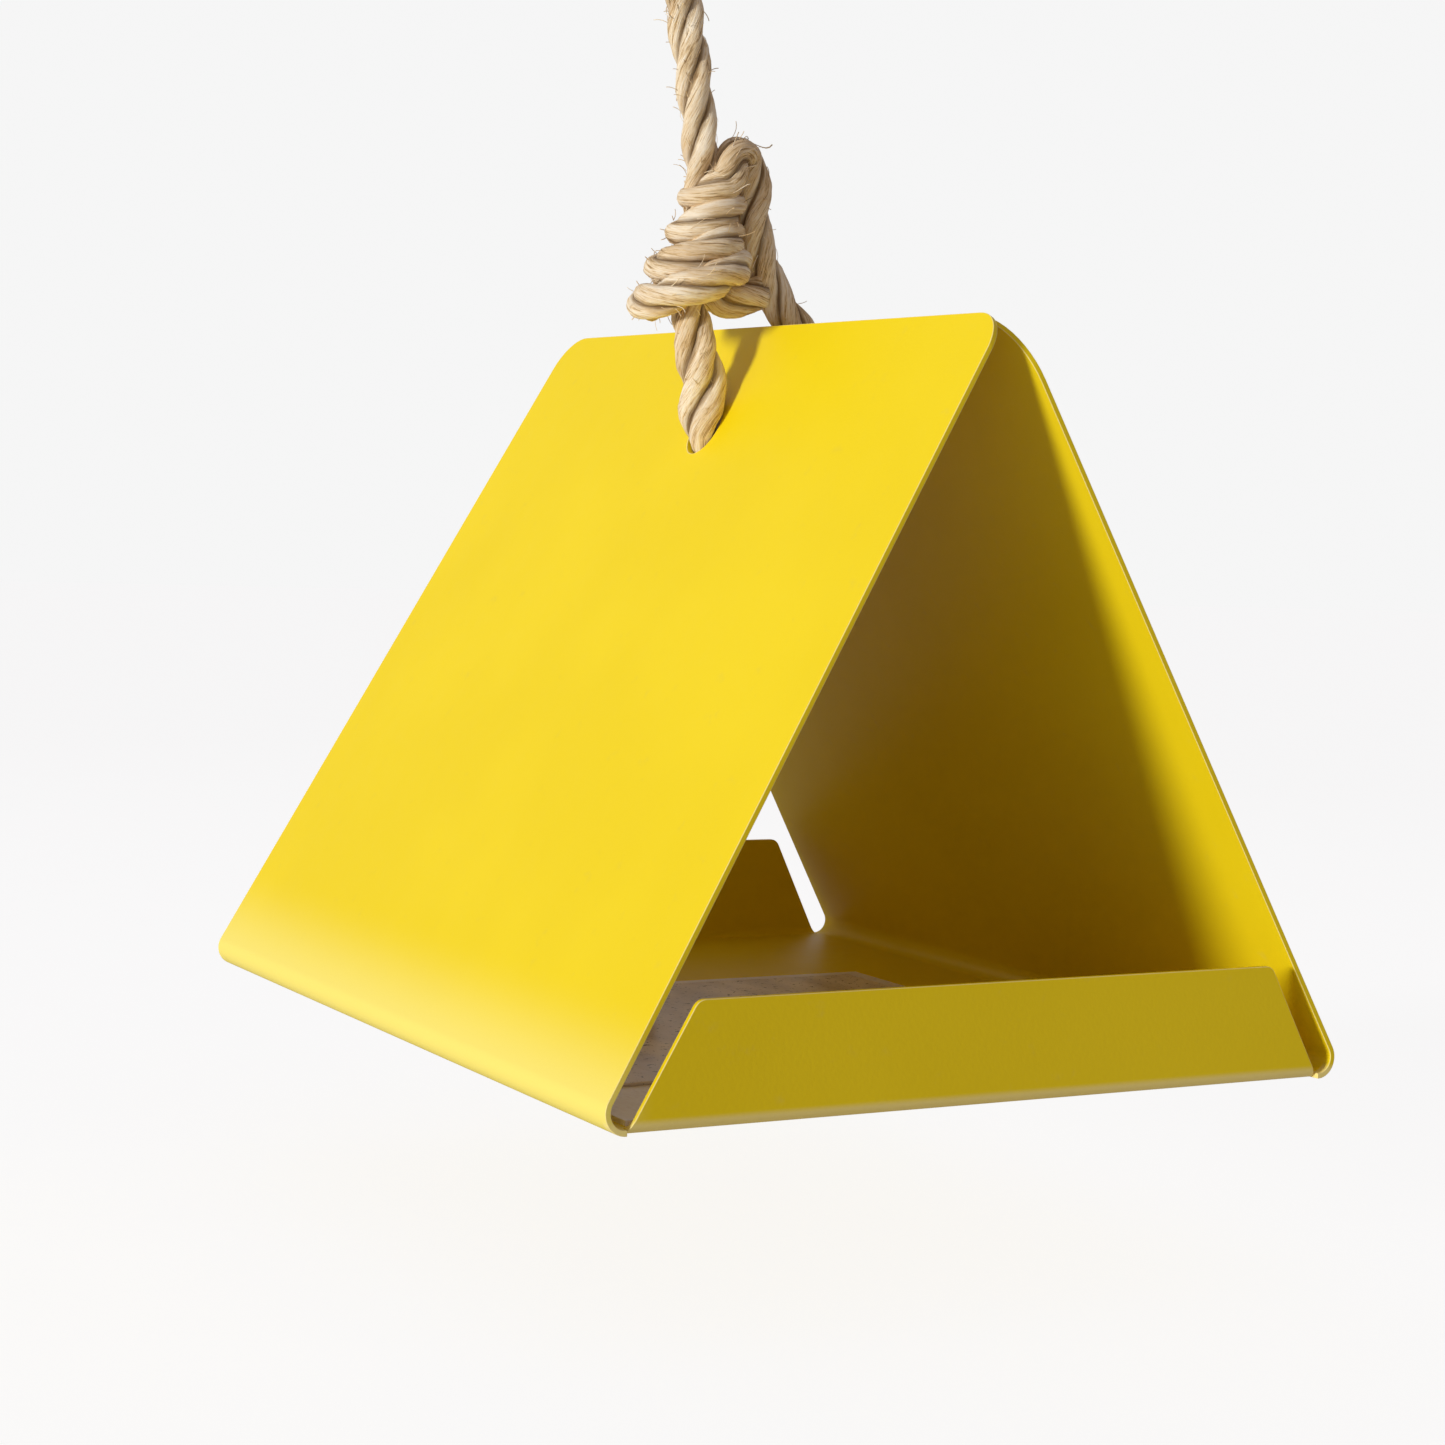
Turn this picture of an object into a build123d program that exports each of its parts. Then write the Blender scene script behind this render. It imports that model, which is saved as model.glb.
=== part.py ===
"""Hanging delta insect trap: a folded sheet tent with a sticky liner, carried by a knotted jute rope.

Millimetres, +Z up. The origin is the hanging point, the inner top of the rope's loop, where a hook or branch
bears. X runs across the tent, and Y along its ridge.
"""

from build123d import *
from math import cos, pi, radians, sin, tan
import os

os.makedirs("parts", exist_ok=True)

# Folded sheet
sheet = 0.9
tent_width = 140.0
tent_length = 157.6
roof_angle = 60.25
fold_radius = 3.4
ridge_gap = 0.4
end_lean = 6.0
left_corner = 7.0
right_corner = 12.0

# End lips, turned up from the floor
near_lip_height = 19.1
far_lip_height = 20.9
lip_bend_radius = 2.3
lip_side_gap = 5.0
far_lip_flare = 1.5
lip_corner = 2.0

# Rope holes, bored across both roof panels
hole_diameter = 8.5
hole_drop = 18.2

# Liner card on the floor, pushed against the near left corner
card_thickness = 0.8
card_width = 105.0
card_length = 104.0
card_side_clearance = 1.2
card_end_clearance = 1.8
glue_thickness = 0.6
glue_near_margin = 21.0
glue_margin = 4.0

# Lure, a rubber sleeve stopper lying on the glue
lure_flange_diameter = 9.5
lure_flange_length = 7.0
lure_diameter = 8.0
lure_length = 19.0
lure_bore = 5.0
lure_bore_depth = 14.0
lure_edge = 0.6
lure_clearance = 0.3
lure_left = 30.0
lure_from_near_end = 75.0

# Rope
rope_diameter = 6.5
rope_lean = 12.2
joint_clearance = 0.3
eye_height = 50.0
leg_offset = 3.4
loop_knot_length = 16.0
taut_length = 26.0
knot_offset = 15.2
knot_rise = 36.7
knot_lean = 15.3

# Values that follow from the ones above
rope_radius = rope_diameter / 2
roof_slope = radians(roof_angle)
sheet_across = sheet / sin(roof_slope)
floor_half = tent_width / 2 - fold_radius * tan((pi - roof_slope) / 2)
ridge_height = (tent_width / 2 - ridge_gap / 2 - sheet * sin(roof_slope)) * tan(roof_slope)
near_end = -tent_length / 2
joint_seat = rope_radius + joint_clearance

# The taut rope's axis runs through the hanging point, tilted by rope_lean across the tent. Its plane has the
# axis as its second direction, so a place on the rope is (across, along).
lean = radians(rope_lean)
rope_plane = Plane(origin=(0, 0, 0), x_dir=(cos(lean), 0, sin(lean)), z_dir=(0, -1, 0))
upper_pivot = -eye_height
loop_knot_top = upper_pivot - joint_seat
loop_knot_bottom = loop_knot_top - loop_knot_length
lower_pivot = loop_knot_bottom - taut_length

# Planes of the tent: across it at mid length, along it, its floor's underside, and across it at ridge level
pivot_place = rope_plane.from_local_coords(Vector(0, lower_pivot, 0))
tent_x = pivot_place.X + knot_offset
ridge_z = pivot_place.Z - knot_rise
floor_z = ridge_z - ridge_height
across_plane = Plane(origin=(tent_x, 0, floor_z), x_dir=(1, 0, 0), z_dir=(0, -1, 0))
side_plane = Plane(origin=(tent_x, 0, floor_z), x_dir=(0, 1, 0), z_dir=(1, 0, 0))
floor_plane = Plane(origin=(tent_x, 0, floor_z))
ridge_plane = Plane(origin=(tent_x, 0, ridge_z), x_dir=(1, 0, 0), z_dir=(0, -1, 0))
hole_height = ridge_height - hole_drop


def rope_section(along):
    """The plane square to the taut rope, at a distance along its axis from the hanging point."""
    return Plane(rope_plane.from_local_coords(Vector(0, along, 0)), z_dir=rope_plane.y_dir)


def save(piece, name):
    """Label a finished piece and write it under its node's name."""
    piece.part.label = name
    export_step(piece.part, f"parts/{name}.step")


def tell_rope(name, route, tube):
    """Print a rope run's length, its arc radii, and its tube's volume against section times length."""
    length = sum(edge.length for edge in route.edges())
    arcs = [edge.radius for edge in route.edges().filter_by(GeomType.CIRCLE)]
    sizes = ", ".join(f"{radius:.1f} mm ({radius / rope_diameter:.1f} d)" for radius in arcs)
    ratio = tube.part.volume / (pi * rope_radius**2 * length)
    print(f"{name}: length {length:.1f} mm, radii {sizes}, volume ratio {ratio:.4f}")


# Trap body: the floor and both roof panels are one strip, bent round two folds
fold_middle = fold_radius - sheet / 2
base_inset = (sheet / 2) / tan(roof_slope / 2)
base_left = (-tent_width / 2 + base_inset, sheet / 2)
ridge_left = (-ridge_gap / 2 - sheet / 2 * sin(roof_slope), ridge_height - sheet / 2 * cos(roof_slope))
lip_foot = tent_width / 2 - sheet_across - lip_side_gap

with BuildPart() as folded_strip:
    with BuildSketch(across_plane):
        with BuildLine():
            FilletPolyline(
                ridge_left,
                base_left,
                (-base_left[0], base_left[1]),
                (-ridge_left[0], ridge_left[1]),
                radius=fold_middle,
            )
        trace(line_width=sheet)
    extrude(amount=tent_length / 2, both=True)
    # The roof's ends lean in towards the ridge
    with BuildSketch(side_plane):
        with BuildLine():
            Polyline(
                (-tent_length / 2, 0),
                (tent_length / 2, 0),
                (tent_length / 2 - end_lean, ridge_height),
                (-tent_length / 2 + end_lean, ridge_height),
                close=True,
            )
        make_face()
    extrude(amount=tent_width, both=True, mode=Mode.INTERSECT)
    # Rounded corners beside the ridge, wider on the right panel
    top_corners = folded_strip.edges().filter_by(lambda edge: abs(edge.length - sheet) < 0.05)
    top_corners = top_corners.filter_by(lambda edge: edge.center().Z > ridge_z - sheet)
    fillet(top_corners.filter_by(lambda edge: edge.center().X < tent_x), radius=left_corner)
    top_corners = folded_strip.edges().filter_by(lambda edge: abs(edge.length - sheet) < 0.05)
    top_corners = top_corners.filter_by(lambda edge: edge.center().Z > ridge_z - sheet)
    fillet(top_corners.filter_by(lambda edge: edge.center().X > tent_x), radius=right_corner)
    # The floor stops short where the lips turn up from it
    with BuildSketch(floor_plane):
        with Locations((0, -tent_length / 2), (0, tent_length / 2)):
            Rectangle(2 * lip_foot, 2 * lip_bend_radius)
    extrude(amount=sheet, mode=Mode.SUBTRACT)
    # Rope holes
    with BuildSketch(side_plane):
        with Locations((0, hole_height)):
            Circle(hole_diameter / 2)
    extrude(amount=tent_width / 4, both=True, mode=Mode.SUBTRACT)


def end_lip(lip_height, flare):
    """The near end's lip: a bent strip across the floor. Flare widens its top beyond the roof's slope."""
    lip_top = lip_foot - lip_height / tan(roof_slope) + flare
    with BuildPart() as lip:
        with BuildSketch(side_plane):
            with BuildLine():
                FilletPolyline(
                    (near_end + 2 * lip_bend_radius, sheet / 2),
                    (near_end + sheet / 2, sheet / 2),
                    (near_end + sheet / 2, lip_height),
                    radius=lip_bend_radius - sheet / 2,
                )
            trace(line_width=sheet)
        extrude(amount=lip_foot, both=True)
        with BuildSketch(across_plane.offset(tent_length / 2)) as lip_outline:
            with BuildLine():
                Polyline(
                    (-lip_foot, 0),
                    (lip_foot, 0),
                    (lip_top, lip_height),
                    (-lip_top, lip_height),
                    close=True,
                )
            make_face()
            fillet(lip_outline.vertices().group_by(Axis.Y)[-1], radius=lip_corner)
        extrude(amount=-3 * lip_bend_radius, mode=Mode.INTERSECT)
    return lip.part


with BuildPart() as trap_body:
    add(folded_strip.part)
    add(end_lip(near_lip_height, 0))
    add(end_lip(far_lip_height, far_lip_flare).mirror(Plane.XZ))
save(trap_body, "trap_body")

# Liner card, against the left fold and close behind the near lip
card_left = -floor_half + card_side_clearance
card_near = near_end + sheet + card_end_clearance
card_plane = floor_plane.offset(sheet)
with BuildPart() as liner_card:
    with BuildSketch(card_plane):
        with Locations((card_left, card_near)):
            Rectangle(card_width, card_length, align=(Align.MIN, Align.MIN))
    extrude(amount=card_thickness)
save(liner_card, "liner_card")

# Glue, spread on the card inside its bare margins
glue_plane = card_plane.offset(card_thickness)
with BuildPart() as glue_layer:
    with BuildSketch(glue_plane):
        with Locations((card_left + glue_margin, card_near + glue_near_margin)):
            Rectangle(
                card_width - 2 * glue_margin,
                card_length - glue_margin - glue_near_margin,
                align=(Align.MIN, Align.MIN),
            )
    extrude(amount=glue_thickness)
save(glue_layer, "glue_layer")

# Lure: a sleeve stopper lying across the trap, flange to the left
lure_height = floor_z + sheet + card_thickness + glue_thickness + lure_clearance + lure_flange_diameter / 2
lure_plane = Plane(
    origin=(tent_x - lure_left - lure_length / 2, near_end + lure_from_near_end, lure_height),
    x_dir=(0, 1, 0),
    z_dir=(1, 0, 0),
)
with BuildPart() as pheromone_lure:
    with BuildSketch(lure_plane):
        Circle(lure_flange_diameter / 2)
    extrude(amount=lure_flange_length)
    with BuildSketch(lure_plane):
        Circle(lure_diameter / 2)
    extrude(amount=lure_length)
    lure_ends = pheromone_lure.faces().sort_by(Axis.X)
    fillet([*lure_ends[0].edges(), *lure_ends[-1].edges()], radius=lure_edge)
    with BuildSketch(lure_plane):
        Circle(lure_bore / 2)
    extrude(amount=lure_bore_depth, mode=Mode.SUBTRACT)
save(pheromone_lure, "pheromone_lure")

# Hanging loop, round a branch or hook. Its two legs end in half balls on one line across the rope, which is
# the axis that everything below sways on; the knot's flat top clears them.
with BuildPart() as rope_hanging_loop:
    with BuildLine(rope_plane) as loop_route:
        FilletPolyline(
            (-leg_offset, upper_pivot),
            (-19.6, -15.5),
            (-14.1, -1.0),
            (0.0, 4.7),
            (14.1, -1.0),
            (19.6, -15.5),
            (leg_offset, upper_pivot),
            radius=15.8,
        )
    with BuildSketch(Plane(origin=loop_route.line @ 0, z_dir=loop_route.line % 0)):
        Circle(rope_radius)
    sweep()
    tell_rope("rope_hanging_loop", loop_route, rope_hanging_loop)
    with Locations(loop_route.line @ 0, loop_route.line @ 1):
        Sphere(rope_radius)
save(rope_hanging_loop, "rope_hanging_loop")

# The loop's knot: two turns of rope drawn tight, flat where the rope leaves it
knot_neck = 5.2
loop_knot_crown = 6.8
middle = (loop_knot_top + loop_knot_bottom) / 2
loop_knot_waist = 7.6
loop_knot_bulge = 9.0
with BuildPart() as rope_loop_knot:
    with BuildSketch(rope_plane):
        with BuildLine():
            Polyline(
                (knot_neck, loop_knot_bottom),
                (0, loop_knot_bottom),
                (0, loop_knot_top),
                (loop_knot_crown, loop_knot_top),
            )
            ThreePointArc(
                (loop_knot_crown, loop_knot_top),
                (loop_knot_bulge, (loop_knot_top + middle) / 2),
                (loop_knot_waist, middle),
            )
            ThreePointArc(
                (loop_knot_waist, middle),
                (loop_knot_bulge, (loop_knot_bottom + middle) / 2),
                (knot_neck, loop_knot_bottom),
            )
        make_face()
    revolve(axis=Axis(rope_plane.origin, rope_plane.y_dir))
save(rope_loop_knot, "rope_loop_knot")

# Taut rope, face to face with the loop's knot. Its lower end is a half ball round the pivot that the main
# knot sways on, clear of the flat top of the rope's stub there.
with BuildPart() as rope_taut:
    with BuildSketch(rope_section(lower_pivot)):
        Circle(rope_radius)
    extrude(amount=taut_length)
    with Locations(rope_section(lower_pivot).origin):
        Sphere(rope_radius)
save(rope_taut, "rope_taut")

# Main knot: turns that widen downwards round the rope, the stub of the taut rope, and the bend that comes up
# beside them and goes over
knot_foot = (-17.0, 0.5)
knot_length = 28.3
knot_axis_plane = Plane(
    origin=ridge_plane.from_local_coords(Vector(knot_foot[0], knot_foot[1], 0)),
    x_dir=(cos(radians(knot_lean)), 0, -sin(radians(knot_lean))),
    z_dir=(0, -1, 0),
)
bend_start = (-2.0, 18.0)
with BuildPart() as rope_knot:
    with BuildSketch(knot_axis_plane):
        with BuildLine():
            Polyline((4.0, 0.0), (0.0, 0.0), (0.0, knot_length), (3.0, knot_length))
            Spline(
                (3.0, knot_length),
                (7.4, 21.0),
                (8.9, 13.5),
                (10.6, 6.5),
                (8.6, 1.6),
                (4.0, 0.0),
                tangents=[(1, -0.6), (-1, -0.2)],
            )
        make_face()
    revolve(axis=Axis(knot_axis_plane.origin, knot_axis_plane.y_dir))
    with BuildSketch(rope_section(lower_pivot - joint_seat)):
        Circle(rope_radius)
    extrude(amount=-2 * rope_diameter)
    with BuildLine(ridge_plane) as bend_route:
        FilletPolyline(bend_start, (-4.07, 29.3), (-12.0, 28.2), radius=4.6)
    with BuildSketch(Plane(origin=bend_route.line @ 0, z_dir=bend_route.line % 0)):
        Circle(rope_radius)
    sweep()
save(rope_knot, "rope_knot")

# Sling: front leg out of the knot and in at the left hole, straight across, out of the right hole and up
# over the ridge to the bend beside the knot
with BuildPart() as rope_sling:
    with BuildLine(ridge_plane) as sling_route:
        FilletPolyline(
            (-16.8, 2.6),
            (-12.75, -hole_drop),
            (11.3, -hole_drop),
            (15.3, -10.4),
            (-0.9, 12.0),
            bend_start,
            radius=[6.5, 6.5, 6.5, 11.0],
        )
    with BuildSketch(Plane(origin=sling_route.line @ 0, z_dir=sling_route.line % 0)):
        Circle(rope_radius)
    sweep()
save(rope_sling, "rope_sling")
tell_rope("rope_sling", sling_route, rope_sling)
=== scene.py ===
# %% [markdown]
# # A hanging insect trap
# The real trap is a tent of folded yellow sheet, open at both ends, that hangs from a knotted jute rope. A lip
# stands up at each end of its floor, and a sticky card with a rubber lure lies between the lips. The solid model
# comes first, as a fixed frame, and everything here is built on it in metres. Its origin is the point where the
# rope's loop bears on a hook or branch, X runs across the tent, Y along its ridge and Z up.

import random
from math import atan2, cos, pi, radians, sin, tau

import bmesh
import bpy
from mathutils import Matrix, Vector
from mathutils import noise as shape_noise


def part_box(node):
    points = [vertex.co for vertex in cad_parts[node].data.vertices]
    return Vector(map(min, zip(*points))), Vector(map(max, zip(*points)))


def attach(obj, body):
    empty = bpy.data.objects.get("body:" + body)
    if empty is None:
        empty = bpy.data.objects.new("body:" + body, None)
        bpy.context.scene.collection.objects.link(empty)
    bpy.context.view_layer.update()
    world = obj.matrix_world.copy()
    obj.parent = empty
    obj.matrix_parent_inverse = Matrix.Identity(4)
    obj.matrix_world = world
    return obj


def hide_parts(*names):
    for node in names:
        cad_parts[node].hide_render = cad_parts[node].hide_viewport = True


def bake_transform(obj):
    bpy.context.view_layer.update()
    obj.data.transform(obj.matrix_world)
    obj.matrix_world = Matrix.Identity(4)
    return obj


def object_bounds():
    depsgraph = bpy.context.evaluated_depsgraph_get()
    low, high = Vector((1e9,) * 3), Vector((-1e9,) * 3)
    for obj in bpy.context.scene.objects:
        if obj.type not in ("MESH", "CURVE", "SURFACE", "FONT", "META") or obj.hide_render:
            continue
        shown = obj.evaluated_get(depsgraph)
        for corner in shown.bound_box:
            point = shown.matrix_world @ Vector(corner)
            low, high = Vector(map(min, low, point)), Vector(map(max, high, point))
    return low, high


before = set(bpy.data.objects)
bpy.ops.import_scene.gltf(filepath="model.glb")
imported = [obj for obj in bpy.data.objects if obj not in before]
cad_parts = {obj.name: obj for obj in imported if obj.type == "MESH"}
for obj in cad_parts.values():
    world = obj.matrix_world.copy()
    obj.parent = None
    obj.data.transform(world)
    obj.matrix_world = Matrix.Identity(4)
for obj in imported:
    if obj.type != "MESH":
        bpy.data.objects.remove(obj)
cad_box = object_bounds()

# %% [markdown]
# ## Making meshes and objects
# Mesh code ends in the same few lines each time: the working mesh becomes a real one, and an object puts it in the
# scene. Two helpers hold those lines. A new object is at the origin, and its place is in its mesh.


# %% Object helpers
def new_object(name, data):
    """A new object in the scene, at the origin."""
    made = bpy.data.objects.new(name, data)
    bpy.context.scene.collection.objects.link(made)
    return made


def new_mesh(name, bm, smooth=True):
    """A mesh with everything in bm, which is then freed."""
    mesh = bpy.data.meshes.new(name)
    bm.to_mesh(mesh)
    bm.free()
    mesh.polygons.foreach_set("use_smooth", [smooth] * len(mesh.polygons))
    return mesh


# %% [markdown]
# ## Camera
# A camera in Blender looks along its own -Z, with its X to the right. It could be aimed with a constraint, but
# three plain turns say more: it stands level and looks along Y, tips down a little, turns towards the tent's open
# end, and rolls by two degrees, as a camera held in the hand does.

# %% Camera
camera_place = (-0.221938, -0.43587, -0.161059)
camera_turn = radians(30.01)
camera_tip = radians(4.285)
camera_roll = radians(2.263)
camera_data = bpy.data.cameras.new("camera")
camera_data.lens = 72.346
camera_data.sensor_width = 36
camera = new_object("camera", camera_data)
camera.matrix_world = (
    Matrix.Translation(camera_place)
    @ Matrix.Rotation(-camera_turn, 4, "Z")
    @ Matrix.Rotation(pi / 2 - camera_tip, 4, "X")
    @ Matrix.Rotation(camera_roll, 4, "Z")
)
bpy.context.scene.camera = camera
bpy.context.scene.view_settings.view_transform = "Standard"
print("camera lens:", camera_data.lens, "mm")

# %% [markdown]
# ## Light
# The light is that of a bright studio with one strong lamp low on the left, so the left roof panel is bright,
# the inside is in shade, and the lamp just reaches in past the near edge to the inside of the right panel. A sun
# lamp ten degrees wide gives its shadows soft edges.

# %% Lamp
sun_data = bpy.data.lights.new("sun", "SUN")
sun_data.energy = 2.5
sun_data.angle = radians(10)
sun = new_object("sun", sun_data)
sun_from = Vector((-1, -0.16, 0.13))
sun.matrix_world = sun_from.to_track_quat("Z", "Y").to_matrix().to_4x4()
print("sun:", sun_data.energy)

# %% [markdown]
# ## Writing node sums as Python
# A node tree is easier to read as sums than as boxes and wires. A small class holds one output socket, and its
# operators add Math nodes. Everything else comes from one method, which takes the node's type, its settings and
# what goes into its sockets.


# %% Node helpers
class Wire:
    """An output socket that can be added to and multiplied."""

    def __init__(self, tree, socket):
        self.tree = tree
        self.socket = socket

    def sum(self, operation, first, second):
        return self.tree.node("ShaderNodeMath", {"operation": operation}, {0: first, 1: second})

    def __add__(self, other):
        return self.sum("ADD", self, other)

    def __radd__(self, other):
        return self.sum("ADD", other, self)

    def __mul__(self, other):
        return self.sum("MULTIPLY", self, other)


class Tree:
    """The nodes of one material or world."""

    def __init__(self, owner):
        owner.use_nodes = True
        self.owner = owner
        self.nodes = owner.node_tree.nodes
        self.links = owner.node_tree.links
        self.nodes.clear()

    def node(self, kind, settings=None, inputs=None, output=0):
        made = self.nodes.new(kind)
        for name, value in (settings or {}).items():
            if name == "stops":
                while len(made.color_ramp.elements) < len(value):
                    made.color_ramp.elements.new(1)
                for element, (position, colour) in zip(made.color_ramp.elements, value):
                    element.position = position
                    element.color = (*colour, 1)
            else:
                setattr(made, name, value)
        for name, value in (inputs or {}).items():
            self.put(made.inputs[name], value)
        return Wire(self, made.outputs[output]) if made.outputs else None

    def put(self, socket, value):
        if isinstance(value, Wire):
            self.links.new(value.socket, socket)
        elif socket.type == "RGBA" and len(value) == 3:
            socket.default_value = (*value, 1)
        else:
            socket.default_value = value

    def place(self):
        return self.node("ShaderNodeTexCoord", output="Object")

    def stretch(self, vector, scale):
        return self.node("ShaderNodeMapping", None, {"Vector": vector, "Scale": scale})

    def noise(self, vector, scale, detail=2, roughness=0.5):
        return self.node(
            "ShaderNodeTexNoise",
            None,
            {"Vector": vector, "Scale": scale, "Detail": detail, "Roughness": roughness},
        )

    def ramp(self, value, *stops):
        return self.node("ShaderNodeValToRGB", {"stops": stops}, {"Fac": value})

    def band(self, value, low, high):
        return self.node(
            "ShaderNodeMapRange",
            {"interpolation_type": "SMOOTHSTEP"},
            {"Value": value, "From Min": low, "From Max": high},
        )

    def mix(self, amount, first, second):
        return self.node("ShaderNodeMix", {"data_type": "RGBA"}, {0: amount, 6: first, 7: second}, output=2)

    def bump(self, height, distance, strength):
        return self.node(
            "ShaderNodeBump", None, {"Height": height, "Distance": distance, "Strength": strength}
        )

    def finish(self, **inputs):
        words = {name.replace("_", " "): value for name, value in inputs.items()}
        shader = self.node("ShaderNodeBsdfPrincipled", None, words)
        self.node("ShaderNodeOutputMaterial", None, {"Surface": shader})
        return self.owner


def new_tree(name):
    return Tree(bpy.data.materials.new(name))


# %% [markdown]
# ## Room light
# The world lights evenly what the lamp doesn't reach. Rays from the camera, or through something clear, see it
# nearly white, and rays that a gloss reflects see it a little under half way to that white.

# %% World
world = bpy.data.worlds.new("studio")
bpy.context.scene.world = world
room = Tree(world)
room_light = (0.320, 0.288, 0.298)
room_white = (0.92, 0.92, 0.92)
gloss_share = 0.45
from_camera, from_gloss, from_clear = [
    room.node("ShaderNodeLightPath", output=f"Is {kind} Ray") for kind in ("Camera", "Glossy", "Transmission")
]
seen = from_camera + from_gloss * gloss_share + from_clear
white_share = room.node("ShaderNodeMath", {"operation": "MINIMUM"}, {0: seen, 1: 1.0})
room_colour = room.mix(white_share, room_light, room_white)
background = room.node("ShaderNodeBackground", None, {"Color": room_colour})
room.node("ShaderNodeOutputWorld", None, {"Surface": background})
print("room light:", room_light)

# %% [markdown]
# ## Floor
# The trap hangs over a plain pale floor, low enough for it to swing clear. The floor should look nearly white and
# still take the trap's shadow, so the camera sees three parts of a plain white, which dulls a little further out,
# to one part of the lit surface.

# %% Floor
floor_drop = 0.035
floor_half = 3
plain_share = 0.75
plain_strength = 1.2
floor_height = cad_box[0][2] - floor_drop
bm = bmesh.new()
bmesh.ops.create_grid(bm, x_segments=1, y_segments=1, size=floor_half)
bmesh.ops.translate(bm, verts=bm.verts, vec=(0, 0, floor_height))
floor = new_object("studio_floor", new_mesh("studio_floor", bm, smooth=False))
paper = new_tree("floor paper")
grain = paper.noise(paper.place(), 40, 3)
greys = paper.ramp(grain, (0, (0.9, 0.9, 0.9)), (1, (0.95, 0.95, 0.95)))
lit_paper = paper.node("ShaderNodeBsdfDiffuse", None, {"Color": greys})
distance = paper.node("ShaderNodeVectorMath", {"operation": "LENGTH"}, {0: paper.place()}, output="Value")
whites = paper.ramp(distance, (0.2, (0.955, 0.955, 0.955)), (1.0, (0.92, 0.92, 0.92)))
white_paper = paper.node("ShaderNodeEmission", None, {"Color": whites, "Strength": plain_strength})
to_camera = paper.node("ShaderNodeLightPath", output="Is Camera Ray")
surface = paper.node("ShaderNodeMixShader", None, {0: to_camera * plain_share, 1: lit_paper, 2: white_paper})
paper.node("ShaderNodeOutputMaterial", None, {"Surface": surface})
floor.data.materials.append(paper.owner)
print("floor at", round(floor_height, 4))

# %% [markdown]
# ## The rope's route
# The trap hangs on one length of jute rope. It comes down from its loop, runs through the middle of the main
# knot, goes in at the left hole, across under the ridge, out at the right hole and back up over the ridge, and
# then winds round itself. A smooth NURBS line through a few listed points gives such a rope its easy curves,
# where a chain of arcs looks like bent wire. The points follow the solid model's, and stand a little further out
# where the line would cut a corner too short.

# %% Rope lines
rope_diameter = 0.0065
rope_radius = rope_diameter / 2
rope_lean = radians(12.2)
rope_up = Vector((-sin(rope_lean), 0, cos(rope_lean)))
rope_across = Vector((cos(rope_lean), 0, sin(rope_lean)))
ridge_top = Vector((0.035392, 0, -0.130092))
loop_pivot = -0.050
twist_face = -0.06955
knot_pivot = -0.09555


def on_rope(across, along):
    """A point beside the hanging rope: across it, and along it from the hanging point."""
    return rope_across * across + rope_up * along


def at_ridge(x, z, y=0.0):
    """A point measured from the middle of the ridge."""
    return ridge_top + Vector((x, y, z))


def rope_line(name, points):
    """A smooth line through space that a rope follows."""
    data = bpy.data.curves.new(name, "CURVE")
    data.dimensions = "3D"
    data.resolution_u = 24
    spline = data.splines.new("NURBS")
    spline.points.add(len(points) - 1)
    for target, point in zip(spline.points, points):
        target.co = (*point, 1)
    spline.order_u = 3
    spline.use_endpoint_u = True
    return new_object(name, data)


def line_points(line):
    """The points of the smooth line, read back from Blender."""
    mesh = bpy.data.meshes.new_from_object(line)
    points = [vertex.co.copy() for vertex in mesh.vertices]
    bpy.data.meshes.remove(mesh)
    return points


def line_length(points):
    """How long the line through these points is."""
    return sum((b - a).length for a, b in zip(points, points[1:]))


# %% [markdown]
# ## The loop
# The loop rounds the hook or branch at its top, and its two legs meet side by side in their small knot.

# %% The loop's line
loop_line = rope_line(
    "loop_line",
    [
        on_rope(-0.0020, loop_pivot - 0.010),
        on_rope(-0.0034, loop_pivot),
        on_rope(-0.0215, -0.0155),
        on_rope(-0.0150, 0.0005),
        on_rope(0.0, 0.0062),
        on_rope(0.0150, 0.0005),
        on_rope(0.0215, -0.0155),
        on_rope(0.0034, loop_pivot),
        on_rope(0.0020, loop_pivot - 0.010),
    ],
)
print(loop_line.name, "length", round(line_length(line_points(loop_line)) * 1000, 1), "mm")

# %% [markdown]
# ## The main knot's turns
# Above the ridge the rope comes up, over a hump and down round its own standing part in nearly four turns that
# widen as they go, and its end is tucked in below them. Turns of a coil are more points of the same line. Each turn
# tips the same way, and leans further out than the one above, so the knot is narrow at its neck and broad where it
# rests on the ridge.

# %% Turns round a rope
points_per_turn = 12


def turns_down(top, foot, tip, first_turn, turns, widths):
    """Points of turns that run down from top to foot. Each turn's plane is tipped, its right side up, and widths
    are the turns' radii from top to foot."""
    left = Vector((-cos(tip), 0, -sin(tip)))
    front = Vector((0, -1, 0))
    count = round(turns * points_per_turn)
    points = []
    for index in range(count + 1):
        share = index / count
        angle = first_turn - tau * turns * share
        spot = share * (len(widths) - 1)
        step = min(int(spot), len(widths) - 2)
        width = widths[step] + (widths[step + 1] - widths[step]) * (spot - step)
        points.append(top.lerp(foot, share) + (left * cos(angle) + front * sin(angle)) * width)
    return points


# %% [markdown]
# ## The sling
# The points run down the taut rope and through the knot, down the left leg and in at its hole, out and up over the
# ridge, over the hump, down the turns and along the tucked end.

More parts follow.
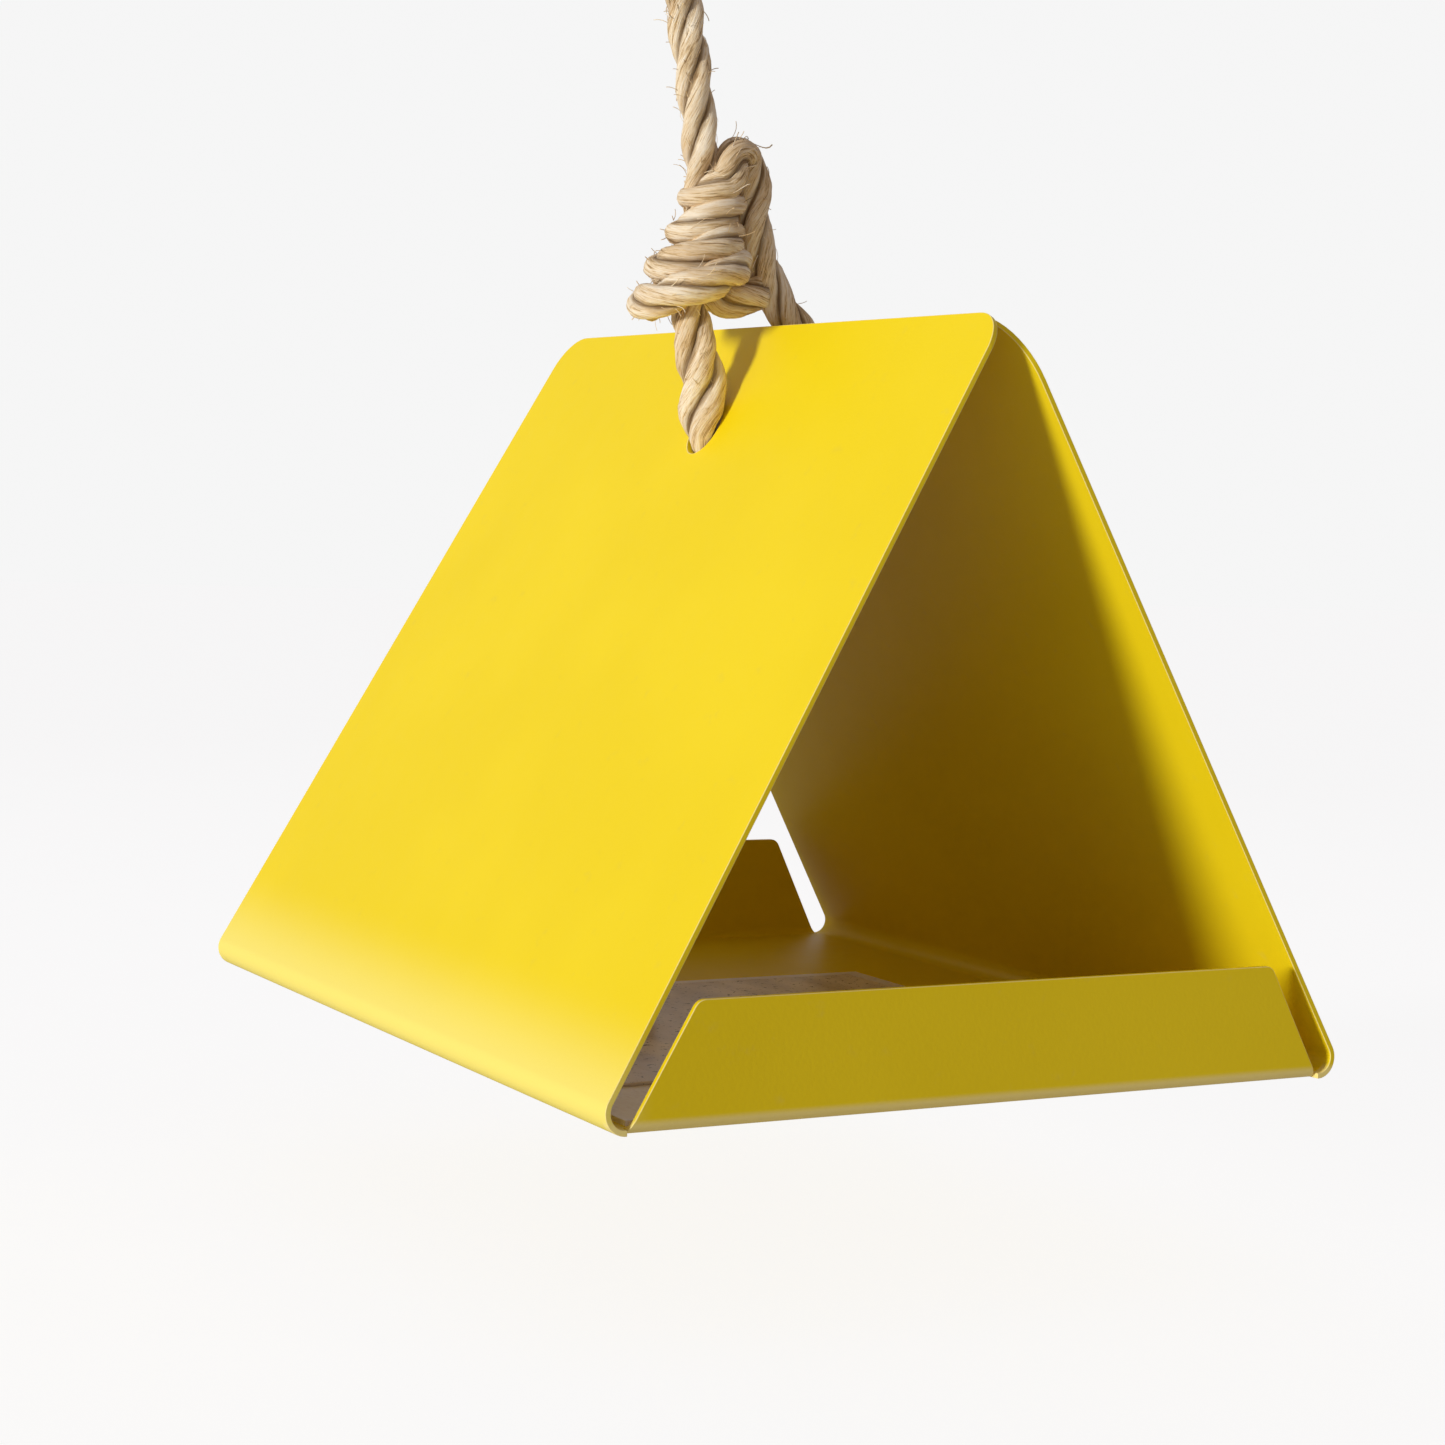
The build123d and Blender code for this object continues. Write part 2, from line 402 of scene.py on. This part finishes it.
# %% The sling's line
knot_turns = turns_down(
    top=at_ridge(-0.0110, 0.0232),
    foot=at_ridge(-0.0160, 0.0029),
    tip=radians(18),
    first_turn=radians(95),
    turns=3.7,
    widths=(0.0034, 0.0034, 0.0042, 0.0060, 0.0080, 0.0078),
)
sling_line = rope_line(
    "sling_line",
    [
        on_rope(0, twist_face + 0.010),
        on_rope(0, twist_face),
        on_rope(0, knot_pivot),
        at_ridge(-0.0130, 0.0200),
        at_ridge(-0.0168, 0.0045),
        at_ridge(-0.0130, -0.0095, -0.0022),
        at_ridge(-0.0120, -0.0206, -0.0002),
        at_ridge(-0.0030, -0.0192),
        at_ridge(0.0118, -0.0190),
        at_ridge(0.0160, -0.0104),
        at_ridge(0.0010, 0.0052),
        at_ridge(-0.0034, 0.0150),
        at_ridge(-0.0036, 0.0236),
        at_ridge(-0.0052, 0.0292),
        at_ridge(-0.0098, 0.0282, -0.0028),
        *knot_turns,
        at_ridge(-0.0070, 0.0038, 0.0020),
        at_ridge(-0.0036, 0.0052, 0.0002),
        at_ridge(-0.0010, 0.0058, -0.0012),
    ],
)
print(sling_line.name, "length", round(line_length(line_points(sling_line)) * 1000, 1), "mm")

# %% [markdown]
# ## A laid rope
# Jute rope is three strands twisted together. One strand could be a curve with a round bevel, but then nothing
# says where its fibres run. Here a ring of points is spun forward along X round the rope's axis, which is just how
# a rope walk lays a strand.

# %% Lay strands
strand_count = 3
lay_pitch = 0.027
strand_radius = 0.00176
strand_offset = rope_radius - strand_radius
strand_sides = 12
strand_step = 0.0006


def spin_ring(bm, ring, **path):
    """Spin a ring of points along a path, and close both ends of the tube that it leaves."""
    edges = list({edge for vertex in ring for edge in vertex.link_edges})
    spun = bmesh.ops.spin(bm, geom=ring + edges, use_merge=False, **path)
    last = [item for item in spun["geom_last"] if isinstance(item, bmesh.types.BMEdge)]
    bmesh.ops.edgeloop_fill(bm, edges=edges)
    bmesh.ops.edgeloop_fill(bm, edges=last)


def lay_strand(bm, turn, length):
    """One strand of a straight rope along X: a ring of points spun forward round the rope's axis."""
    steps = max(8, round(length / strand_step))
    slope = atan2(tau * strand_offset, lay_pitch)
    ring = bmesh.ops.create_circle(bm, segments=strand_sides, radius=strand_radius, cap_ends=False)["verts"]
    bmesh.ops.rotate(bm, verts=ring, cent=(0, 0, 0), matrix=Matrix.Rotation(pi / 2, 3, "Y"))
    bmesh.ops.rotate(bm, verts=ring, cent=(0, 0, 0), matrix=Matrix.Rotation(-slope, 3, "Z"))
    bmesh.ops.translate(bm, verts=ring, vec=(0, 0, strand_offset))
    bmesh.ops.rotate(bm, verts=ring, cent=(0, 0, 0), matrix=Matrix.Rotation(turn, 3, "X"))
    spin_ring(
        bm,
        ring,
        cent=(0, 0, 0),
        axis=(1, 0, 0),
        dvec=(length / steps, 0, 0),
        angle=tau * length / lay_pitch,
        steps=steps,
    )


# %% [markdown]
# ## Stray fibres
# Fibres stand out all over a jute rope. Each one is a tiny ring spun along an arc, and chance gives its thickness,
# bend, slant and place. The draws are always the same ones, and a fibre that reaches too far out is pressed back.

# %% Stray fibres
fibre_reach = 0.0056
fibre_root = rope_radius * 0.86
fibre_ends_clear = 0.004
fibres_per_metre = 1500


def loose_fibre(bm, chance, length):
    """One stray fibre: a tiny ring spun along an arc that leaves the rope's side."""
    size = chance.uniform(0.00004, 0.00009)
    bend = chance.uniform(0.0012, 0.0035)
    ring = bmesh.ops.create_circle(bm, segments=3, radius=size, cap_ends=False)["verts"]
    spin_ring(
        bm,
        ring,
        cent=(bend, 0, 0),
        axis=(0, chance.uniform(0.9, 1.0), chance.uniform(-0.4, 0.4)),
        dvec=(0, 0, 0),
        angle=chance.uniform(0.5, 1.3),
        steps=5,
    )
    fresh = [vertex for vertex in bm.verts if not vertex.tag]
    slant = Matrix.Rotation(chance.uniform(0.7, 1.45) * chance.choice((-1, 1)), 4, "Y")
    yaw = Matrix.Rotation(chance.uniform(-0.7, 0.7), 4, "Z")
    around = Matrix.Rotation(chance.uniform(0, tau), 4, "X")
    along = Matrix.Translation((chance.uniform(fibre_ends_clear, length - fibre_ends_clear), 0, 0))
    up = Matrix.Translation((0, 0, fibre_root))
    bmesh.ops.transform(bm, matrix=along @ around @ up @ yaw @ slant, verts=fresh)
    tallest = max(vertex.co.yz.length for vertex in fresh)
    for vertex in fresh:
        vertex.tag = True
        if tallest > fibre_reach:
            vertex.co.yz *= fibre_reach / tallest


def straight_fibres(length):
    """Stray fibres for a straight rope, always the same ones."""
    chance = random.Random(7)
    bm = bmesh.new()
    for _ in range(round(length * fibres_per_metre)):
        loose_fibre(bm, chance, length)
    return new_mesh("fibres", bm)


# %% [markdown]
# ## A rope along its line
# Three strands and the fibres make a straight rope. The strands are a little lumpy, and where the rope hangs slack
# it is thicker. The material finds its way by an attribute, which holds a point's place across its strand and along
# the rope. A Curve modifier then bends the straight rope along its line.

# %% Bend a rope
strand_spacing = 0.02
strand_lump = 0.16
lumps_along = 330
lumps_across = 500
lump_shift = 9
fibre_place = 0.07


def straight_rope(name, length, swells=()):
    """Three strands laid together along X, with each point's place in its strand kept as an attribute. A swell is
    a stretch, from one distance to another, where the rope is looser and so thicker."""
    bm = bmesh.new()
    for strand in range(strand_count):
        lay_strand(bm, strand * tau / strand_count, length)
    bmesh.ops.recalc_face_normals(bm, faces=bm.faces)
    fibre = bm.verts.layers.float_vector.new("fibre")
    per_strand = len(bm.verts) // strand_count
    for index, vertex in enumerate(bm.verts):
        strand = index // per_strand
        x = vertex.co.x
        lay = strand * tau / strand_count + tau * x / lay_pitch
        out = vertex.co - Vector((x, -sin(lay) * strand_offset, cos(lay) * strand_offset))
        about = atan2(out.z, out.y) - lay
        across = cos(about) * strand_radius + strand_spacing * strand
        vertex[fibre] = (across, sin(about) * strand_radius, x)
        at = Vector((x * lumps_along, out.y * lumps_across + strand * lump_shift, out.z * lumps_across))
        lump = shape_noise.noise(at)
        vertex.co += out * lump * strand_lump
    for start, end, growth in swells:
        for vertex in bm.verts:
            share = (vertex.co.x - start) / (end - start)
            if 0 < share < 1:
                size = 1 + growth * sin(pi * share) ** 0.6
                vertex.co.y *= size
                vertex.co.z *= size
    fibres = straight_fibres(length)
    laid = len(bm.verts)
    bm.from_mesh(fibres)
    bpy.data.meshes.remove(fibres)
    bm.verts.ensure_lookup_table()
    for vertex in bm.verts[laid:]:
        vertex[fibre] = (fibre_place, strand_radius, vertex.co.x)
    return new_mesh(name, bm)


def reach(points, spot):
    """How far along a line the point nearest to a spot lies."""
    nearest = min(range(len(points)), key=lambda index: (points[index] - spot).length)
    return line_length(points[: nearest + 1])


def lay_along(name, line, swells=()):
    """A laid rope, bent along a line, as a finished mesh."""
    length = line_length(line_points(line))
    rope = new_object(name, straight_rope(name, length, swells))
    bend = rope.modifiers.new("bend", "CURVE")
    bend.object = line
    bend.deform_axis = "POS_X"
    bpy.context.view_layer.update()
    bent = bpy.data.meshes.new_from_object(rope.evaluated_get(bpy.context.evaluated_depsgraph_get()))
    rope.modifiers.clear()
    rope.data = bent
    print(name, "laid:", len(bent.vertices), "points,", round(length * 1000, 1), "mm")
    return rope


# %% [markdown]
# ## Loop and sling in rope
# The sling's left leg has little to hold below the knot, so it is thicker there, as far as the run under the ridge.

# %% Loop and sling
leg_growth = 0.29
loop_rope = lay_along("loop_rope", loop_line)
leg_top = reach(line_points(sling_line), at_ridge(-0.0160, 0.0010))
leg_end = reach(line_points(sling_line), at_ridge(0.0010, -0.0192))
sling_rope = lay_along("sling_rope", sling_line, [(leg_top, leg_end, leg_growth)])

# %% [markdown]
# ## The loop's knot
# The loop is closed by two tight turns of the same rope round both of its legs. They are a piece of their own,
# because the loop swings on the knot and the knot stays stiff.

# %% Loop's knot
loop_knot_line = rope_line(
    "loop_knot_line",
    [
        on_rope(0.0010, twist_face + 0.0120),
        *turns_down(
            top=on_rope(0, twist_face + 0.0122),
            foot=on_rope(0, twist_face + 0.0038),
            tip=rope_lean,
            first_turn=radians(95),
            turns=1.9,
            widths=(0.0052, 0.0056, 0.0056, 0.0050),
        ),
        on_rope(0.0005, twist_face + 0.0040),
    ],
)
loop_knot_turns = lay_along("loop_knot_turns", loop_knot_line)

# %% [markdown]
# ## Jute
# Jute is a pale straw colour with darker fibres and brown patches, dull and rough along its length. Painted shade
# darkens the grooves between its strands. The colour and the bump follow each strand through the attribute,
# squeezed along it, so that they look like fibres and not like spots.


# %% Jute finish
def jute_finish():
    tree = new_tree("jute")
    fibre = tree.node("ShaderNodeAttribute", {"attribute_name": "fibre"}, output="Vector")
    long_fibres = tree.stretch(fibre, (1, 1, 0.12))
    fine = tree.noise(long_fibres, 5200, 4, 0.6)
    broad = tree.noise(long_fibres, 1500, 3, 0.55)
    patches = tree.noise(tree.stretch(fibre, (1, 1, 0.5)), 170, 2)
    tone = fine * 0.45 + broad * 0.35 + patches * 0.2
    colour = tree.ramp(
        tone,
        (0.34, (0.16, 0.08, 0.025)),
        (0.42, (0.50, 0.32, 0.14)),
        (0.48, (0.85, 0.65, 0.38)),
        (0.57, (1.0, 0.88, 0.67)),
    )
    outward = tree.node("ShaderNodeSeparateXYZ", None, {"Vector": fibre}, output="Y")
    # Painted shade: the grooves between the strands are darkened where shade falls.
    groove_shade = tree.band(outward + broad * 0.0010, -0.0002, 0.0013)
    brown = tree.band(tree.noise(tree.stretch(fibre, (1, 1, 0.6)), 130, 2), 0.48, 0.66)
    colour = tree.mix(brown * 0.4, colour, (0.60, 0.38, 0.16))
    colour = tree.mix(groove_shade, (0.22, 0.13, 0.05), colour)
    height = fine * 0.5 + broad * 0.5
    return tree.finish(
        Base_Color=colour,
        Roughness=0.72 + fine * 0.25,
        Sheen_Weight=0.06,
        Normal=tree.bump(height, 0.0005, 0.9),
    )


jute = jute_finish()
for piece in (loop_rope, sling_rope, loop_knot_turns):
    piece.data.materials.append(jute)
print("jute on 3 pieces")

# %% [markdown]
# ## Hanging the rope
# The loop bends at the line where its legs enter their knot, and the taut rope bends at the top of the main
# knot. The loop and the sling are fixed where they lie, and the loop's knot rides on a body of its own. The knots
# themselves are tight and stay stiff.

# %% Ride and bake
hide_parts("rope_hanging_loop")
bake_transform(loop_rope)
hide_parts("rope_loop_knot")
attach(loop_knot_turns, "loop_knot")
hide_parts("rope_taut", "rope_sling", "rope_knot")
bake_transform(sling_rope)

# %% [markdown]
# ## The rope's lengths
# Each rope's real length is measured along the line that it follows. The lines have then done their work and
# are removed.

# %% Rope lengths
loop_points = line_points(loop_line)
sling_points = line_points(sling_line)
for line in (loop_line, sling_line, loop_knot_line):
    bpy.data.objects.remove(line)
print("cords:", round(line_length(loop_points), 3), "and", round(line_length(sling_points), 3), "m")

# %% [markdown]
# ## The folded sheet
# The body is thin sheet with a baked powder coat. The solid model's edges are knife sharp, and a coat is never
# sharp: it rounds every edge, and that round is what catches the light. So the solid's own mesh is copied, its
# loose triangles are merged, and its sharp edges are bevelled.

# %% Rounded copy of a solid
coat_round = 0.00042
merge_distance = 1e-6
flat_angle = radians(0.5)
sharp_angle = radians(50)


def rounded_copy(name, node, width):
    """A copy of a solid's mesh with its sharp edges rounded. An attribute marks the rounded faces."""
    bm = bmesh.new()
    bm.from_mesh(bpy.data.objects[node].data)
    bmesh.ops.remove_doubles(bm, verts=bm.verts, dist=merge_distance)
    bmesh.ops.dissolve_limit(bm, angle_limit=flat_angle, verts=bm.verts, edges=bm.edges)
    joined = [edge for edge in bm.edges if len(edge.link_faces) == 2]
    sharp = [edge for edge in joined if edge.calc_face_angle() > sharp_angle]
    rounded = bm.faces.layers.float.new("rounded")
    fresh = bmesh.ops.bevel(
        bm,
        geom=sharp,
        offset=width,
        affect="EDGES",
        segments=3,
        profile=0.5,
        clamp_overlap=True,
        material=-1,
    )["faces"]
    for face in fresh:
        face[rounded] = 1
    piece = new_object(name, new_mesh(name, bm))
    even = piece.modifiers.new("even shading", "WEIGHTED_NORMAL")
    even.keep_sharp = True
    print(name, "has", len(piece.data.polygons), "faces and", len(sharp), "rounded edges")
    return piece


folded_sheet = rounded_copy("folded_sheet", "trap_body", coat_round)

# %% [markdown]
# ## Yellow powder coat
# Powder coat is half glossy, with a faint orange peel. The colour is even and saturated, a little cloudy over
# large areas, with a trace of dust. Gloss is kept low, because a strong one would wash the yellow out. A paler
# yellow is painted on as highlight along the rounded edges and the two bottom folds that face the lamp and the
# camera. It stands in for the lamp's light on the edges and for light bounced up from the floor onto the folds.


# %% Powder coat finish
def coat_finish():
    tree = new_tree("yellow powder coat")
    spot = tree.place()
    peel = tree.noise(spot, 1500, 2)
    cloud = tree.noise(spot, 24, 2)
    dust = tree.noise(spot, 260, 4, 0.65)
    yellow = tree.mix(tree.band(cloud, 0.35, 0.65), (0.89, 0.668, 0.006), (0.915, 0.692, 0.008))
    colour = tree.mix(tree.band(dust, 0.6, 0.8) * 0.12, yellow, (0.62, 0.5, 0.2))
    across, along, height = [
        tree.node("ShaderNodeSeparateXYZ", None, {"Vector": spot}, output=axis) for axis in ("X", "Y", "Z")
    ]
    # A band runs from where a fold's painted highlight starts to where it is full, in metres.
    left_fold_highlight = tree.band(across, -0.024, -0.033) * tree.band(height, -0.212, -0.250)
    near_fold_highlight = tree.band(along, -0.0770, -0.0776) * tree.band(height, -0.2484, -0.2496)
    rounded = tree.node("ShaderNodeAttribute", {"attribute_name": "rounded"}, output="Fac")
    # Painted highlight: a paler yellow on the folds and rounded edges, standing in for light that they catch.
    painted_highlight_yellow = (1.0, 0.84, 0.32)
    colour = tree.mix(left_fold_highlight * 0.9, colour, (0.96, 0.82, 0.19))
    colour = tree.mix(near_fold_highlight * 0.8, colour, painted_highlight_yellow)
    colour = tree.mix(rounded * 0.8, colour, painted_highlight_yellow)
    return tree.finish(
        Base_Color=colour,
        Roughness=0.36 + dust * 0.14,
        Specular_IOR_Level=0.17,
        Normal=tree.bump(peel, 0.00004, 0.6),
    )


folded_sheet.data.materials.clear()
folded_sheet.data.materials.append(coat_finish())
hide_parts("trap_body")
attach(folded_sheet, "trap")
print("powder coat on the folded sheet")

# %% [markdown]
# ## Liner card
# The liner is pale card with a thin coat against damp. It shows short fibres and a slight mottle. Its solid
# has the right shape, so it only gets a finish.


# %% Card finish
def card_finish():
    tree = new_tree("liner card")
    spot = tree.place()
    fibres = tree.noise(tree.stretch(spot, (1, 0.35, 1)), 1600, 3, 0.6)
    mottle = tree.noise(spot, 180, 3)
    tone = fibres * 0.6 + mottle * 0.4
    colour = tree.ramp(
        tone,
        (0.35, (0.84, 0.76, 0.76)),
        (0.50, (0.95, 0.88, 0.88)),
        (0.65, (0.98, 0.94, 0.94)),
    )
    return tree.finish(
        Base_Color=colour,
        Roughness=0.3 + mottle * 0.2,
        Normal=tree.bump(fibres, 0.00006, 0.6),
    )


def dress(node, material):
    """Put a finish on a solid of the frame that keeps its own mesh."""
    for slot in bpy.data.objects[node].material_slots:
        slot.material = material
    print(node, "wears", material.name)


dress("liner_card", card_finish())

# %% [markdown]
# ## Sticky glue
# Glue is spread by a comb or roller, so its face is never flat and its edge wanders. A fine grid takes that
# shape from Blender's own noise, and is then extruded down to the card to make it a closed skin.

# %% Glue layer
ripple_depth = 0.00012
lump_depth = 0.00016
edge_wander = 0.0007
edge_drop = 0.0001
cells_across = 150
cells_along = 120
glue_low, glue_high = [Vector(corner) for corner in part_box("glue_layer")]
glue_size = glue_high - glue_low
bm = bmesh.new()
bmesh.ops.create_grid(bm, x_segments=cells_across, y_segments=cells_along, size=0.5)
bmesh.ops.scale(bm, verts=bm.verts, vec=(glue_size.x, glue_size.y, 1))
centre = (glue_low + glue_high) / 2
bmesh.ops.translate(bm, verts=bm.verts, vec=(centre.x, centre.y, glue_high.z))
rim = {vertex for edge in bm.edges if edge.is_boundary for vertex in edge.verts}
for vertex in bm.verts:
    ripple = shape_noise.noise(Vector((vertex.co.x * 900, vertex.co.y * 160, 3)))
    lump = shape_noise.noise(vertex.co * 260)
    vertex.co.z -= ripple_depth * (1 + ripple) / 2 + lump_depth * (1 + lump) / 2
    if vertex in rim:
        inward = Vector((centre.x - vertex.co.x, centre.y - vertex.co.y, 0)).normalized()
        vertex.co += inward * edge_wander * (1 + shape_noise.noise(vertex.co * 420)) / 2
        vertex.co.z -= edge_drop
skirt = bmesh.ops.extrude_face_region(bm, geom=list(bm.faces))["geom"]
for vertex in [item for item in skirt if isinstance(item, bmesh.types.BMVert)]:
    vertex.co.z = glue_low.z
bmesh.ops.recalc_face_normals(bm, faces=bm.faces)
sticky_glue = new_object("sticky_glue", new_mesh("sticky_glue", bm))
print("glue:", len(sticky_glue.data.polygons), "faces")

# %% [markdown]
# ## Glue finish
# The glue is a warm grey film with broad smears along the comb's path, and dark specks of what has stuck to it.


# %% Glue finish
def glue_finish():
    tree = new_tree("sticky glue")
    spot = tree.place()
    specks = tree.noise(spot, 900, 3, 0.7)
    smears = tree.noise(tree.stretch(spot, (1, 0.4, 1)), 120, 3)
    base = tree.ramp(smears, (0.35, (0.60, 0.50, 0.44)), (0.65, (0.90, 0.78, 0.68)))
    colour = tree.mix(tree.band(specks, 0.58, 0.68), base, (0.06, 0.045, 0.03))
    return tree.finish(
        Base_Color=colour,
        Roughness=0.28 + smears * 0.2,
        Normal=tree.bump(smears, 0.0002, 0.6),
    )


sticky_glue.data.materials.append(glue_finish())
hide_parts("glue_layer")
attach(sticky_glue, "liner")
print("glue finish on", sticky_glue.name)

# %% [markdown]
# ## Rubber lure
# The lure is a small moulded stopper of red rubber, soaked with the scent. Rubber is dull, with a dusty bloom.


# %% Rubber finish
def rubber_finish():
    tree = new_tree("lure rubber")
    spot = tree.place()
    bloom = tree.noise(spot, 700, 4, 0.6)
    colour = tree.ramp(bloom, (0.35, (0.26, 0.045, 0.03)), (0.7, (0.42, 0.12, 0.085)))
    return tree.finish(
        Base_Color=colour,
        Roughness=0.55 + bloom * 0.3,
        Normal=tree.bump(bloom, 0.00006, 0.5),
    )


dress("pheromone_lure", rubber_finish())
